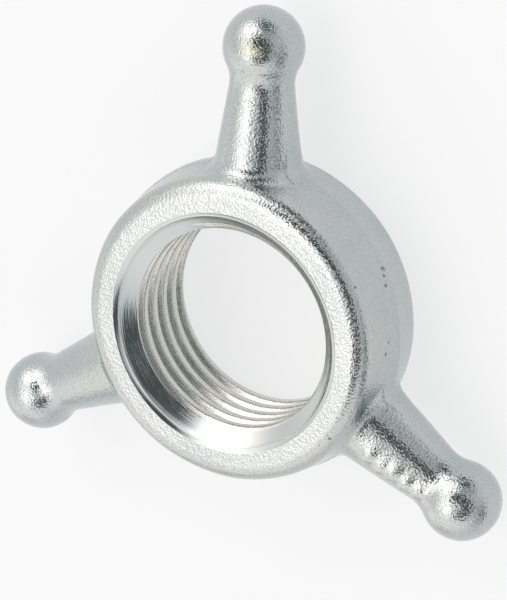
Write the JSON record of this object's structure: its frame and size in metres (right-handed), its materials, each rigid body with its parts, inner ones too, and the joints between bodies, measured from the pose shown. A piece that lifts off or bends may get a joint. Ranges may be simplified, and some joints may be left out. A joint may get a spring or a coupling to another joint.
{
  "type": "top link lock nut",
  "caption": "Forged lock nut with a coarse metric thread and ball-ended arms, turned by hand to lock a top link's spindle.",
  "frame": {"origin": "on the thread's axis, in the forging's parting plane halfway between the two faces", "axes": "+Z along the thread's axis out of the front face; +Y along the first arm; the other arms at 120 and 240 degrees"},
  "size_m": [0.0886, 0.0783, 0.0192],
  "materials": {
    "zinc": "forged steel, shot blasted and bright zinc plated; the countersinks are turned smooth"
  },
  "bodies": {
    "root": {"nut": "zinc"}
  },
  "joints": []
}
